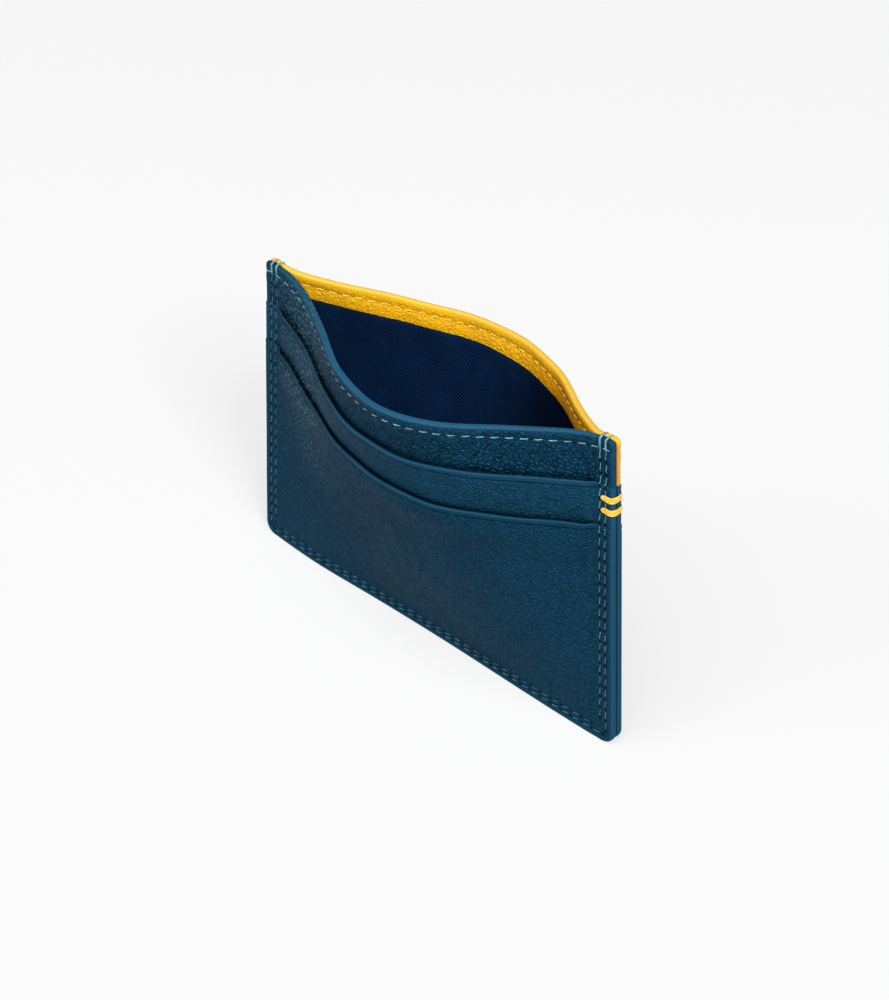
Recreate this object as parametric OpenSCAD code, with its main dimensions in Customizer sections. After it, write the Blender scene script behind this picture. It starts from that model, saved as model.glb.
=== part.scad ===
// Leather card holder: two lined halves sewn together along both sides and the bottom, open at
// the top. Each half has a panel with a turned hem and two slot pockets on its outside.
// The origin is in the middle of the bottom edge. X runs along the width, Z is up, and the front
// half lies on the -Y side of the plane where the halves meet.

/* [Body] */
// Width along the sewn bottom edge
body_w = 100; // [92:1:110]
// Height of the sewn side edges
body_h = 70; // [66:1:80]
// How far each side edge leans in at the top, because the bowed rims span less
side_lean = 4.4; // [0:0.1:6]
// Radius of the two bottom corners
bottom_corner_r = 3; // [1.5:0.5:5]
// Radius of the two top corners
top_corner_r = 0.8; // [0.8:0.1:2]

/* [Mouth] */
// How far the rim of each half stands out from the seam plane in the middle
mouth_bow = 17.3; // [10:0.1:20]
// How far each rim dips in the middle, as it leans outward
rim_dip = 3.8; // [1:0.1:6]
// How sharply the front half rises from its side seams at the rim
front_rise = 2.1; // [1.5:0.05:2.5]
// How sharply the back half rises from its side seams
back_rise = 1.5; // [1.4:0.05:2.5]
// How far to the right of the middle the mouth is fullest, as a part of the half width
fullest_at = 0.06; // [-0.1:0.01:0.1]
// Height of the hem that each panel turns inward over its rim
hem_h = 5; // [4:0.1:6.5]

/* [Pockets] */
// Height from the top edge down to the upper pockets' rims, at the sides
upper_pocket_drop = 9.7; // [9:0.1:10]
// Height from the top edge down to the lower pockets' rims, at the sides
lower_pocket_drop = 18.7; // [18.5:0.1:22]
// How far a panel or an upper pocket reaches down inside the slot below its visible strip
tail_h = 8; // [6:0.5:8]

/* [Layers] */
// Thickness of the leather
leather_t = 0.9; // [0.7:0.05:1]
// Thickness of the lining and of the slot cloths
cloth_t = 0.15; // [0.1:0.01:0.18]

/* [Stitching] */
// Width of the sewn border along the sides and the bottom
border_w = 4; // [3.5:0.1:5]
// Distance from the edge to the outer row of stitches
outer_row = 1.8; // [1.4:0.1:2]
// Distance from the edge to the inner row of stitches
inner_row = 3.2; // [2.6:0.1:3.4]
// Distance from a panel's rim to its row of stitches
rim_row = 2.2; // [1.8:0.1:3]
// Distance from one stitch to the next
stitch_pitch = 2.7; // [2.5:0.1:4]
// Length of thread that shows in one stitch
stitch_l = 1.9; // [1.5:0.1:2.2]
// Diameter of the thread
thread_d = 0.35; // [0.3:0.05:0.6]
// Height from the top edge down to the middle of the upper accent band, on the +X edge
upper_band_drop = 12.3; // [11.8:0.1:12.6]
// The same for the lower accent band
lower_band_drop = 15; // [14.7:0.1:16]
// Height of one accent band
band_h = 1.4; // [1:0.1:1.8]

/* [Hidden] */
FRONT = -1;
BACK = 1;
upper_rim = body_h - upper_pocket_drop;
lower_rim = body_h - lower_pocket_drop;
hem_edge = body_h - hem_h;
// Distances outward from the seam plane, or from a half's inner face where it bows away from it
layer_gap = 0.08;
strand_gap = 0.02; // between the strands of an accent band
tail_gap = 0.12;   // between a tail and the pocket over it
thread_gap = 0.1;  // between a stitch and the face that it lies on
lining_in = 0.05;
upper_cloth_in = lining_in + cloth_t + layer_gap;
lower_cloth_in = upper_cloth_in + cloth_t + layer_gap;
pocket_in = lower_cloth_in + cloth_t + layer_gap;
leather_out = upper_cloth_in + leather_t;
border_step = 0.2; // how far each pocket's rim stands out over the strip above it in the border
skived_t = 0.35;   // leather thinned where it is caught under the next pocket
wing_h = 1.5;      // how far a strip's full width reaches down under the next pocket's rim
tail_inset = 3;    // how much narrower than the border's inner edge a tail is, on each side
cloth_lap = 3;     // how far a slot cloth reaches up behind the tail that it carries
step_h = 0.2;      // height over which a face steps in or out
thread_r = thread_d / 2;
strands = 4;
strand_t = band_h / strands;
upper_cloth_top = upper_rim - tail_h + cloth_lap;
lower_cloth_top = lower_rim - tail_h + cloth_lap;
columns = 24;
column_crowding = 1.35; // how strongly the columns of points crowd towards the side edges
bottom_rise = 1.3;      // how sharply the front half rises at its bottom
early_opening = 0.3;    // how much sooner the halves part than in proportion to the height
dip_reach = 1.06;       // the dip ends this much before the side edges, as a part of the width
dip_rise = 0.9;
parting_w = 2.5;        // width inside the border over which the layers part
panel_tail_t = 0.2;     // how far the panel's tail and the upper pocket's stand out at their ends
pocket_tail_t = 0.5;

function clamp(x, low = 0, high = 1) = max(low, min(high, x));
function ease(t) = let (c = clamp(t)) c * c * (3 - 2 * c);
function mix(a, b, t) = a + (b - a) * t;

// The shape of one half. u runs from -1 at the left edge to 1 at the right edge, v is the height
// measured along the leather, and d is the distance outward from the half's inner face.
function half_width(v) = body_w / 2 - side_lean * v / body_h;
function across(u, v) = let (h = half_width(v), a = clamp(u * h / (h - border_w), -1, 1))
    a - fullest_at * (1 - a * a);
function rise(side, v) = side == BACK ? back_rise : mix(bottom_rise, front_rise, pow(clamp(v / body_h), 3));
function opened(v) = let (t = clamp((v - border_w) / (body_h - border_w))) t * (1 + early_opening * (1 - t));
function bow(side, u, v) =
    mouth_bow * opened(v) * pow(1 - pow(across(u, v), 2), rise(side, v));
function dip(u, v) = rim_dip * pow(1 - pow(clamp(dip_reach * u, -1, 1), 2), dip_rise)
    * (1 - pow(1 - clamp(v / body_h), 3));
function leaf_point(side, u, v, d) =
    [u * half_width(v), side * (bow(side, u, v) + d), v - dip(u, v)];

// How far the sides draw in where a corner of radius r is rounded, at a distance e from its end
function corner_inset(e, r) = e >= r ? 0 : r - sqrt(max(0, r * r - (r - e) * (r - e)));
// 0 in the sewn border, 1 where the layers are free
function free(u, v) = ease((half_width(v) * (1 - abs(u)) - border_w) / parting_w);
// 0 at a height and above it, 1 a given distance further down
function taper(v, top, height) = ease((top - v) / height);

// The two faces of each strip as distances d. Each pocket steps out over the tail of the strip
// above it, and sinks back to the cloth below the tail.
function panel_in(u, v) = v > hem_edge ? lining_in
    : mix(upper_cloth_in, lower_cloth_in, taper(v, upper_rim - wing_h, tail_h - cloth_lap - wing_h));
function panel_out(u, v) = v >= upper_rim + step_h ? leather_out
    : mix(upper_cloth_in + skived_t, mix(leather_out, pocket_in + panel_tail_t, taper(v, upper_rim, tail_h)),
          free(u, v));
function upper_in(u, v) = mix(
    mix(upper_cloth_in + skived_t + layer_gap, pocket_in, taper(v, lower_rim, wing_h)),
    mix(leather_out + tail_gap, pocket_in, taper(v, upper_rim - tail_h / 2, tail_h)), free(u, v));
function upper_out(u, v) = v < lower_rim
    ? mix(pocket_in + skived_t,
          mix(upper_in(u, v) + leather_t, pocket_in + pocket_tail_t, taper(v, lower_rim, tail_h)),
          free(u, v))
    : mix(leather_out + border_step, upper_in(u, v) + leather_t, free(u, v));
function lower_in(u, v) = mix(
    mix(pocket_in + skived_t + layer_gap, pocket_in, taper(v, lower_rim - wing_h, wing_h)),
    mix(upper_out(u, lower_rim) + tail_gap, pocket_in, taper(v, lower_rim - tail_h / 2, tail_h)),
    free(u, v));
function lower_out(u, v) =
    mix(leather_out + 2 * border_step, lower_in(u, v) + leather_t, free(u, v));
function skin(u, v) = v >= upper_rim ? panel_out(u, v)
    : v >= lower_rim ? upper_out(u, v) : lower_out(u, v);

// The heights at which every sheet has a row of points, so that neighbouring sheets keep the same
// shape. corner_steps are the rows that a rounded corner needs, as parts of its radius.
corner_steps = [0, 0.13, 0.4, 0.7, 1];
levels = concat(
    [for (s = corner_steps) s * bottom_corner_r],
    [for (t = [0.1, 0.25, 0.45, 0.7]) mix(bottom_corner_r, lower_rim, t)],
    [for (rim = [lower_rim, upper_rim])
        each [rim - tail_h, rim - tail_h + cloth_lap, rim - wing_h - step_h, rim - wing_h, rim]],
    [upper_rim + step_h, hem_edge - step_h, hem_edge, hem_edge + step_h, hem_edge + hem_h / 3],
    [for (i = [len(corner_steps) - 1 : -1 : 0]) body_h - corner_steps[i] * top_corner_r]);

// The part of the full width that a sheet covers at a height, with the corners rounded
function full_width(v) = 1 - (corner_inset(v, bottom_corner_r)
    + corner_inset(body_h - v, top_corner_r)) / half_width(v);
// The same for a strip whose tail below the next pocket's rim is narrower
function strip_width(v, next_rim) = v >= next_rim - wing_h ? full_width(v)
    : 1 - (border_w + tail_inset) / half_width(v);

// A closed sheet between two heights and between two distances from a half's inner face, built on
// the +Y side and mirrored for the front half.
module sheet(side, bottom, top, width, inner, outer) {
    rows = [for (v = levels) if (v > bottom - step_h / 2 && v < top + step_h / 2) v];
    last = len(rows) - 1;
    grid = [for (v = rows) for (i = [0 : columns])
        let (t = 2 * i / columns - 1) [sign(t) * (1 - pow(1 - abs(t), column_crowding)) * width(v), v]];
    points = [for (face = [inner, outer]) for (at = grid)
        let (p = leaf_point(side, at[0], at[1], face(at[0], at[1]))) [p[0], abs(p[1]), p[2]]];
    row = columns + 1;
    layer = len(grid);
    faces = concat(
        [for (j = [0 : last - 1]) for (i = [0 : columns - 1]) let (a = j * row + i)
            each [[a, a + row + 1, a + 1], [a, a + row, a + row + 1],
                  [layer + a, layer + a + 1, layer + a + row + 1],
                  [layer + a, layer + a + row + 1, layer + a + row]]],
        [for (i = [0 : columns - 1]) let (b = i, c = last * row + i)
            each [[layer + b + 1, layer + b, b], [layer + b + 1, b, b + 1],
                  [layer + c, layer + c + 1, c + 1], [layer + c, c + 1, c]]],
        [for (j = [0 : last - 1]) let (a = j * row, b = j * row + columns)
            each [[layer + a, layer + a + row, a + row], [layer + a, a + row, a],
                  [layer + b + row, layer + b, b], [layer + b + row, b, b + row]]]);
    mirror([0, side == FRONT ? 1 : 0, 0]) polyhedron(points, faces);
}

module panel(side) {
    sheet(side, upper_rim - tail_h, body_h, function(v) strip_width(v, upper_rim),
          function(u, v) panel_in(u, v), function(u, v) panel_out(u, v));
}

module upper_pocket(side) {
    sheet(side, lower_rim - tail_h, upper_rim, function(v) strip_width(v, lower_rim),
          function(u, v) upper_in(u, v), function(u, v) upper_out(u, v));
}

module lower_pocket(side) {
    sheet(side, 0, lower_rim, function(v) full_width(v),
          function(u, v) lower_in(u, v), function(u, v) lower_out(u, v));
}

module cloth(side, top, inner) {
    sheet(side, 0, top, function(v) full_width(v),
          function(u, v) inner, function(u, v) inner + cloth_t);
}

// A straight stitch from one point to another
module stitch(from, to) {
    along = to - from;
    length = norm(along);
    translate(from) rotate([0, acos(along[2] / length), atan2(along[1], along[0])])
        cylinder(h = length, r = thread_r, $fn = 6);
}

// Stitches along a panel's rim at distance d, from the middle out to reach on both sides
module rim_stitches(side, d, reach) {
    v = body_h - rim_row;
    count = floor(2 * reach / stitch_pitch);
    for (i = [0 : count - 1]) {
        x = (i - (count - 1) / 2) * stitch_pitch;
        stitch(leaf_point(side, (x - stitch_l / 2) / half_width(v), v, d),
               leaf_point(side, (x + stitch_l / 2) / half_width(v), v, d));
    }
}

// The row of stitches below a panel's rim: on its outside up to the seams, and on the hem inside
// as far as the mouth stands open
module rim_thread(side) {
    clear_w = half_width(body_h - rim_row) - border_w;
    rim_stitches(side, leather_out + thread_r + thread_gap, clear_w);
    rim_stitches(side, lining_in - thread_r - thread_gap, clear_w - 2 * border_w);
}

// One row of stitches round the sides and the bottom, on the outside of both halves
module seam_thread(edge) {
    first = edge + stitch_pitch / 2;
    side_count = floor((body_h - first - stitch_l) / stitch_pitch);
    bottom_count = floor((body_w - 2 * edge - stitch_l / 2) / stitch_pitch);
    for (side = [FRONT, BACK]) {
        for (end = [-1, 1])
            for (i = [0 : side_count - 1]) {
                low = first + i * stitch_pitch;
                high = low + stitch_l;
                u = end * (1 - edge / half_width(low));
                d = max(skin(u, low), skin(u, high)) + thread_r + thread_gap;
                stitch(leaf_point(side, u, low, d), leaf_point(side, u, high, d));
            }
        for (i = [0 : bottom_count - 1]) {
            x = (i - (bottom_count - 1) / 2) * stitch_pitch;
            from = (x - stitch_l / 2) / half_width(edge);
            to = (x + stitch_l / 2) / half_width(edge);
            d = skin(from, edge) + thread_r + thread_gap;
            stitch(leaf_point(side, from, edge, d), leaf_point(side, to, edge, d));
        }
    }
}

// The two stitches that pass over the top edge at one corner, each in three straight runs
module corner_wraps(end) {
    reach = leather_out + thread_r + thread_gap;
    top = body_h + thread_r + thread_gap;
    low = body_h - stitch_pitch;
    for (edge = [outer_row, inner_row]) {
        x = end * (half_width(body_h) - edge);
        foot = end * (half_width(low) - edge);
        for (side = [FRONT, BACK])
            stitch([foot, side * reach, low], [x, side * reach, body_h]);
        stitch([x, -reach, top], [x, reach, top]);
    }
}

// One accent band: parallel strands that pass round the +X edge, from the inner row of stitches
// on the front to the same row on the back
module accent_band(drop) {
    v = body_h - drop;
    edge_x = half_width(v);
    reach = leather_out + border_step + 2 * thread_gap + thread_d;
    tilt = atan(side_lean / body_h);
    translate([edge_x, 0, v]) rotate([0, -tilt, 0])
        for (i = [0 : strands - 1])
            translate([0, 0, (i - strands / 2) * strand_t])
                linear_extrude(strand_t - strand_gap) difference() {
                    translate([-inner_row, -reach - thread_d])
                        square([inner_row + thread_gap + thread_d, 2 * (reach + thread_d)]);
                    translate([-inner_row - 1, -reach]) square([inner_row + 1 + thread_gap, 2 * reach]);
                }
}

module blue_leather() { color([0.08, 0.27, 0.4]) children(); }
module yellow_leather() { color([0.95, 0.71, 0.06]) children(); }
module navy_cloth() { color([0.02, 0.08, 0.2]) children(); }
module blue_thread() { color([0.45, 0.65, 0.68]) children(); }
module yellow_thread() { color([0.96, 0.74, 0.25]) children(); }

module front_panel() { blue_leather() panel(FRONT); }
module front_upper_pocket() { blue_leather() upper_pocket(FRONT); }
module front_lower_pocket() { blue_leather() lower_pocket(FRONT); }
module front_upper_slot_cloth() { navy_cloth() cloth(FRONT, upper_cloth_top, upper_cloth_in); }
module front_lower_slot_cloth() { navy_cloth() cloth(FRONT, lower_cloth_top, lower_cloth_in); }
module front_lining() { navy_cloth() cloth(FRONT, hem_edge - step_h, lining_in); }
module back_panel() { yellow_leather() panel(BACK); }
module back_upper_pocket() { blue_leather() upper_pocket(BACK); }
module back_lower_pocket() { blue_leather() lower_pocket(BACK); }
module back_upper_slot_cloth() { navy_cloth() cloth(BACK, upper_cloth_top, upper_cloth_in); }
module back_lower_slot_cloth() { navy_cloth() cloth(BACK, lower_cloth_top, lower_cloth_in); }
module back_lining() { navy_cloth() cloth(BACK, hem_edge - step_h, lining_in); }
module front_rim_thread() { blue_thread() rim_thread(FRONT); }
module back_rim_thread() { yellow_thread() rim_thread(BACK); }
module seam_thread_outer() { blue_thread() seam_thread(outer_row); }
module seam_thread_inner() { blue_thread() seam_thread(inner_row); }
module left_corner_wraps() { blue_thread() corner_wraps(-1); }
module right_corner_wraps() { blue_thread() corner_wraps(1); }
module upper_accent_band() { yellow_thread() accent_band(upper_band_drop); }
module lower_accent_band() { yellow_thread() accent_band(lower_band_drop); }

front_panel();
front_upper_pocket();
front_lower_pocket();
front_upper_slot_cloth();
front_lower_slot_cloth();
front_lining();
back_panel();
back_upper_pocket();
back_lower_pocket();
back_upper_slot_cloth();
back_lower_slot_cloth();
back_lining();
front_rim_thread();
back_rim_thread();
seam_thread_outer();
seam_thread_inner();
left_corner_wraps();
right_corner_wraps();
upper_accent_band();
lower_accent_band();
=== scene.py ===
"""Card holder: two lined leather halves, sewn round three sides and open at the top.

The leather strips, cloths and threads are built here as detailed meshes in the places of their plain
CAD solids. Shapes are worked out in millimetres and written to the meshes in metres.
"""

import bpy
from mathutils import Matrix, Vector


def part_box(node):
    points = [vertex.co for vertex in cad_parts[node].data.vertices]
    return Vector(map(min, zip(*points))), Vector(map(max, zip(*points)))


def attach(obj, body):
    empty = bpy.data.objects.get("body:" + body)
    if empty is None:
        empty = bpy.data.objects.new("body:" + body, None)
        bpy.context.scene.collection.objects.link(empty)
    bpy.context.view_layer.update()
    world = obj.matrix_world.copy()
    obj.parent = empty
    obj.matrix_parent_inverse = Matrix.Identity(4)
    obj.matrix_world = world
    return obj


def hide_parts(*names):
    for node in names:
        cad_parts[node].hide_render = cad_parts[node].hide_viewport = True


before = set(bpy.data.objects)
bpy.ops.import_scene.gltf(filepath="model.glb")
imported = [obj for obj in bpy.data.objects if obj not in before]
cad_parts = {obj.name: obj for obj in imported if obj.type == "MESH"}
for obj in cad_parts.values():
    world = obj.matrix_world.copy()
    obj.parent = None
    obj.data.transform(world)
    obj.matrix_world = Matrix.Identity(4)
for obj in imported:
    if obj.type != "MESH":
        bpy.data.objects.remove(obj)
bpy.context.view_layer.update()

import math

import bmesh
import bpy
import numpy as np
from mathutils import Vector

# Places are given as x across the holder, v along the leather up from the bottom edge, and d outward
# from the inner face of one half.
MM = 0.001
FRONT, BACK = -1, 1
HALVES = {"front": FRONT, "back": BACK}
TAU = 2 * math.pi


# ---------------------------------------------------------------- sizes, in millimetres
def box_mm(node):
    """A CAD node's lowest and highest corners, in millimetres."""
    return [[value / MM for value in corner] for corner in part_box(node)]


WING = 1.5            # how far a strip reaches down under the next pocket's rim at full width
BOTTOM_CORNER = 3.0   # radius of the bottom corners
TOP_CORNER = 0.8      # radius of the top corners
HEIGHT = box_mm("front_panel")[1][2]
UPPER_RIM = box_mm("front_upper_pocket")[1][2]
LOWER_RIM = box_mm("front_lower_pocket")[1][2]
HEM_EDGE = box_mm("front_lining")[1][2] + 0.2   # the hem ends just above the lining
TAIL = 8.0            # how far a strip's tail reaches down inside the slot below it
# The side edges lean in: the half width is known just above the bottom corner and at the panel's wing.
LOW_X = box_mm("front_lower_pocket")[1][0]
HIGH_X = box_mm("front_panel")[1][0]
SIDE_SLOPE = (LOW_X - HIGH_X) / (UPPER_RIM - WING - BOTTOM_CORNER)
BORDER = 4.0          # width of the sewn border
LOOSENING = 2.5       # the stretch beside the border over which the layers come free of each other
TAIL_INSET = 3.0      # a strip's tail stops this far inside the border
MOUTH_BOW = 17.3      # how far each rim stands out from the seam plane
RIM_DIPS = {FRONT: 3.8, BACK: 3.55}   # how far each rim dips in the middle
FULLEST_AT = 0.06     # how far right of the middle the mouth is fullest
FRONT_RISE = (1.3, 2.1)   # how sharply the front half rises at its bottom and at its rim
BACK_RISE = 1.5           # the same for the whole of the back half

LINING = (0.05, 0.20)     # inner and outer faces, as distances from a half's inner face
UPPER_CLOTH = (0.28, 0.43)
LOWER_CLOTH = (0.51, 0.66)
POCKET_IN = 0.74      # a pocket's inner face, where no tail lies behind it
PANEL_OUT = 1.18      # the panel's outer face
LEATHER = 0.9         # thickness of a pocket's leather
BORDER_STEP = 0.2     # how much each pocket thickens the sewn border
SKIVED = 0.35         # thickness of a wing or a tail where it is sewn in
TAIL_GAP = 0.12       # between a tail and the pocket in front of it
LAYER_GAP = 0.08      # between two strips in the border
SEAM_IN = 0.004       # half of the gap between the two halves in the seam
EDGE_R = 0.6          # how far the rounding of the side edges reaches
EDGE_INSET = 1.3      # the cloths and the strips' wings stop this far inside the rounded edges
HEM_R, POCKET_RIM_R = 0.75, 0.22   # how far the roundings of the rims reach
HEM_CLEARANCE = 0.06  # between the lining's top edge and the hem
CLOTH_DROP = 5.0      # a slot cloth's top edge lies this far below its rim
CLOTHS = {            # the inner and outer faces of each cloth, and its top
    "lining": (LINING, HEM_EDGE),
    "upper_slot_cloth": (UPPER_CLOTH, UPPER_RIM - CLOTH_DROP),
    "lower_slot_cloth": (LOWER_CLOTH, LOWER_RIM - CLOTH_DROP),
}

OUTER_ROW, INNER_ROW = 1.8, 3.2     # stitch rows, from the edge
RIM_ROW = 2.2                       # stitch row, from the rim
OUTSIDE_STOP, INSIDE_STOP = 1.2, BORDER + 4.0   # where a rim's row ends, from the edge
PITCH = 2.7                         # from stitch to stitch
SEAM_STITCH, RIM_STITCH = 2.3, 1.85   # lengths of one stitch
THREAD_R = 0.135                    # radius of the thread
HOLE_R = 0.36                       # how far a needle hole's dimple reaches
HOLE_DIVE = 0.26                    # how deep a stitch's ends go into their holes
BAND_DROPS = {"upper": 12.3, "lower": 15.0}   # the accent bands' places, from the top
rng = np.random.default_rng(11)


# ---------------------------------------------------------------- the shape of one half
def clip01(t):
    return np.clip(t, 0, 1)


def ease(t):
    """0 to 1 as t goes from 0 to 1, with soft ends."""
    t = clip01(t)
    return t * t * (3 - 2 * t)


def mix(a, b, t):
    """a where t is 0, b where it is 1."""
    return a + (b - a) * t


def flat_cos(t, power):
    """A cosine with flattened ends, for the sections of rounded edges."""
    return np.sign(np.cos(t)) * np.abs(np.cos(t)) ** power


def ridge(value, centre, width):
    """1 at the centre, falling smoothly to 0 about two widths away."""
    return np.exp(-((value - centre) / width) ** 2)


def half_width(v):
    """Half of the holder's width at a height."""
    return LOW_X - SIDE_SLOPE * (v - BOTTOM_CORNER)


def free(x, v):
    """0 in the sewn border, 1 where the layers are free."""
    return ease((half_width(v) - np.abs(x) - BORDER) / LOOSENING)


def ripple(side, x, v):
    """Slow unevenness of the leather, zero in the border."""
    fade = 9
    long_wave = 0.22 * np.sin(0.21 * x - 0.13 * v + 0.8 * side) * np.sin(0.16 * v + 0.05 * x + side)
    short_wave = 0.09 * np.sin(0.43 * x + 0.31 * v + 2.1 * side)
    inside = ease((half_width(v) - np.abs(x) - BORDER) / fade) * ease((v - BORDER) / fade)
    return (long_wave + short_wave) * inside


def bow(side, x, v):
    """How far a half stands out from the seam plane."""
    a = np.clip(x / (half_width(v) - BORDER), -1, 1)
    a = a - FULLEST_AT * (1 - a * a)
    t = np.maximum((v - BORDER) / (HEIGHT - BORDER), 0)
    low, high = FRONT_RISE
    rise = BACK_RISE if side == BACK else mix(low, high, clip01(v / HEIGHT) ** 3)
    return MOUTH_BOW * t * (1 + 0.3 * (1 - t)) * np.maximum(1 - a * a, 0) ** rise


def dip(side, x, v):
    """How far the leather sinks in the middle as it bows out, most of all at the rim."""
    u = np.clip(1.06 * x / half_width(v), -1, 1)
    return RIM_DIPS[side] * (1 - u * u) ** 0.9 * (1 - (1 - v / HEIGHT) ** 3)


def warp(x, v):
    """The sewn edge isn't quite straight: both halves wander to the front near its left end."""
    bulge = -0.6 * ridge(x, -34, 13) * (1 - ease(v / 30))
    return bulge + 0.12 * np.sin(0.11 * x + 1) * (1 - ease(v / 20))


def inner_face(side, x, v):
    """A half's inner face, from which all distances outward are counted."""
    y = bow(side, x, v) + ripple(side, x, v)
    return np.stack([x, side * y + warp(x, v), v - dip(side, x, v)], -1)


def point(side, x, v, d):
    """The point at distance d outward from a half's inner face, square to its general slope."""
    reach_x, reach_v = 2.5, 2
    x, v, d = np.broadcast_arrays(*(np.asarray(a, float) for a in (x, v, d)))
    along = inner_face(side, x + reach_x, v) - inner_face(side, x - reach_x, v)
    up = inner_face(side, x, v + reach_v) - inner_face(side, x, v - reach_v)
    normal = -side * np.cross(along, up)
    normal /= np.linalg.norm(normal, axis=-1, keepdims=True)
    return inner_face(side, x, v) + normal * d[..., None]


# ---------------------------------------------------------------- the faces of the leather strips
def edge_gap(x, v):
    """The distance from the holder's outline, with its corners rounded."""
    side_gap = half_width(v) - np.abs(x)
    gap = np.minimum(side_gap, v)
    for radius, end_gap in ((BOTTOM_CORNER, v), (TOP_CORNER, HEIGHT - v)):
        a, b = radius - side_gap, radius - end_gap
        rounded = radius - np.hypot(a, b)
        gap = np.where((a > 0) & (b > 0), np.minimum(gap, rounded), gap)
    return np.maximum(gap, 0)


def taper(v, top, height):
    """0 above top, rising to 1 over height below it."""
    return ease((top - v) / height)


def seam_draw(x, v):
    """How deep the seam rows draw the leather in."""
    gap = edge_gap(x, v)
    depth = 0.13 * (ridge(gap, OUTER_ROW, 0.33) + ridge(gap, INNER_ROW, 0.38))
    return depth + 0.05 * ridge(gap, (OUTER_ROW + INNER_ROW) / 2, 0.5)


def rim_pull(v, width):
    """How the stitches along the rim draw the hem together."""
    return 0.15 * ridge(v, HEIGHT - RIM_ROW, width)


def panel_out(x, v):
    """The panel's outer face: full along the rim and below its stitches, sunk below the hem."""
    puff = 0.06 * ridge(v, HEIGHT - 1.0, 0.8) + 0.07 * ridge(v, HEIGHT - RIM_ROW - 1.3, 1.0)
    sink = 0.07 * taper(v, HEM_EDGE + 0.6, 1.4)
    shown = PANEL_OUT + puff - rim_pull(v, 0.42) - sink - seam_draw(x, v)
    tail = mix(PANEL_OUT - 0.07, POCKET_IN + 0.2, taper(v, UPPER_RIM, TAIL))
    hidden = mix(UPPER_CLOTH[0] + SKIVED, tail, free(x, v))
    return np.where(v > UPPER_RIM, shown, hidden)


def close_over(x, v, face):
    """An inner face that comes in over the cloths' edges at the sides and the bottom."""
    return mix(SEAM_IN, face, ease((edge_gap(x, v) - 0.9) / 0.35))


def panel_in(x, v):
    """The panel's inner face: the hem turned in at the rim, and the skived leather below it."""
    puff = 0.08 * ridge(v, HEIGHT - 1.0, 0.8) + 0.05 * ridge(v, HEIGHT - 3.6, 0.8)
    raised = 0.55 * rim_pull(v, 0.5) - puff - 0.14 + 0.05 * taper(v, HEM_EDGE + 0.9, 0.9)
    hem = mix(SEAM_IN, raised, free(x, v))
    cloth = mix(UPPER_CLOTH[0], LOWER_CLOTH[0], taper(v, UPPER_RIM - WING, 3.5))
    return np.where(v > HEM_EDGE, hem, close_over(x, v, cloth))


def rim_crease(v, rim):
    """The fine line pressed below a pocket's rim, and the slight swell above it."""
    return 0.13 * ridge(v, rim - 1.1, 0.15) - 0.03 * ridge(v, rim - 0.6, 0.3)


def over_tail(v):
    """The upper pocket's inner face where it is free: over the panel's tail, then down."""
    return mix(PANEL_OUT + TAIL_GAP, POCKET_IN, taper(v, UPPER_RIM - TAIL / 2, TAIL))


def upper_in(x, v):
    """The upper pocket's inner face."""
    border = mix(UPPER_CLOTH[0] + SKIVED + LAYER_GAP, POCKET_IN, taper(v, LOWER_RIM, WING))
    return close_over(x, v, mix(border, over_tail(v), free(x, v)))


def upper_out(x, v):
    """The upper pocket's outer face, and its tail behind the lower pocket."""
    inside = over_tail(v) + LEATHER
    shown = mix(PANEL_OUT + BORDER_STEP, inside, free(x, v))
    shown = shown - seam_draw(x, v) - rim_crease(v, UPPER_RIM)
    tail = mix(inside - 0.03, POCKET_IN + 0.5, taper(v, LOWER_RIM, TAIL))
    return np.where(v > LOWER_RIM, shown, mix(POCKET_IN + SKIVED, tail, free(x, v)))


def lower_inside(v):
    """The lower pocket's inner face where it is free: over the upper pocket's tail, then down."""
    top = over_tail(LOWER_RIM) + LEATHER + TAIL_GAP
    return mix(top, POCKET_IN, taper(v, LOWER_RIM - TAIL / 2, TAIL))


def lower_in(x, v):
    """The lower pocket's inner face."""
    border = mix(POCKET_IN + SKIVED + LAYER_GAP, POCKET_IN, taper(v, LOWER_RIM - WING, WING))
    return close_over(x, v, mix(border, lower_inside(v), free(x, v)))


def lower_out(x, v):
    """The lower pocket's outer face."""
    shown = mix(PANEL_OUT + 2 * BORDER_STEP, lower_inside(v) + LEATHER, free(x, v))
    return shown - seam_draw(x, v) - rim_crease(v, LOWER_RIM)


def skin(x, v):
    """The outermost face of a half."""
    return np.where(v > UPPER_RIM, panel_out(x, v),
                    np.where(v > LOWER_RIM, upper_out(x, v), lower_out(x, v)))


# ---------------------------------------------------------------- outlines, rows and columns
def corner_inset(gap, radius):
    """How far a rounded corner draws the side in, at a distance from the end."""
    short = np.clip(radius - gap, 0, radius)
    return radius - np.sqrt(np.maximum(radius ** 2 - short ** 2, 0))


def outline(v, inset=0.0):
    """Half of the width of a sheet that stops inset inside the holder's outline."""
    bottom = corner_inset(np.maximum(v - inset, 0), max(BOTTOM_CORNER - inset, 0.1))
    top = corner_inset(np.maximum(HEIGHT - v, 0), TOP_CORNER)
    return half_width(v) - inset - bottom - top


def strip_outline(rim):
    """A strip has the full width down to the next rim, then a wing, then a narrow tail."""
    def half(v):
        below = np.where(v > rim - WING, EDGE_INSET, BORDER + TAIL_INSET)
        return outline(v) - np.where(v > rim, 0, below)
    return half


def spaced(start, stop, step):
    """Even steps from start to stop, each no longer than step."""
    return np.linspace(start, stop, max(2, int(math.ceil(abs(stop - start) / step)) + 1))


ROW_MERGE = 0.015     # heights closer than this become one row


def rows_of(*parts):
    """Joins heights in order and drops those that are nearly equal."""
    kept = []
    for v in sorted(float(v) for part in parts for v in part):
        if not kept or v - kept[-1] > ROW_MERGE:
            kept.append(v)
    return np.array(kept)


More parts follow.
